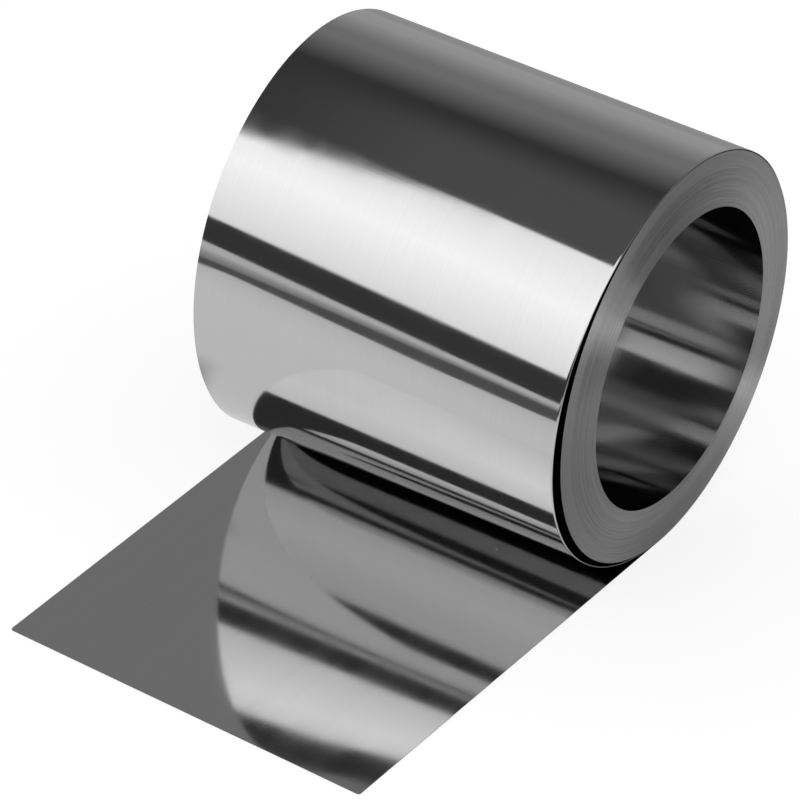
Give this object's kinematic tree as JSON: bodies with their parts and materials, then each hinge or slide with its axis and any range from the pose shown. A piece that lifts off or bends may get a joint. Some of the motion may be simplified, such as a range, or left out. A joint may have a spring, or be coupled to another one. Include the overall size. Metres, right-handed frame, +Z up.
{
  "type": "coil of stainless steel strip",
  "caption": "Coil of bright thin stainless steel strip with a round bore, its last lap loosened and running out as a flat tail.",
  "frame": {"origin": "on the coil's axis, midway along its bore", "axes": "+X along the coil's axis, out of the end where the inner laps stand proud; -Y the way the tail runs out; +Z up"},
  "size_m": [0.2025, 0.3639, 0.2107],
  "materials": {
    "bright_stainless": "bright annealed, near mirror, slit edges satin"
  },
  "bodies": {
    "root": {"steel_strip": "bright_stainless"}
  },
  "joints": []
}
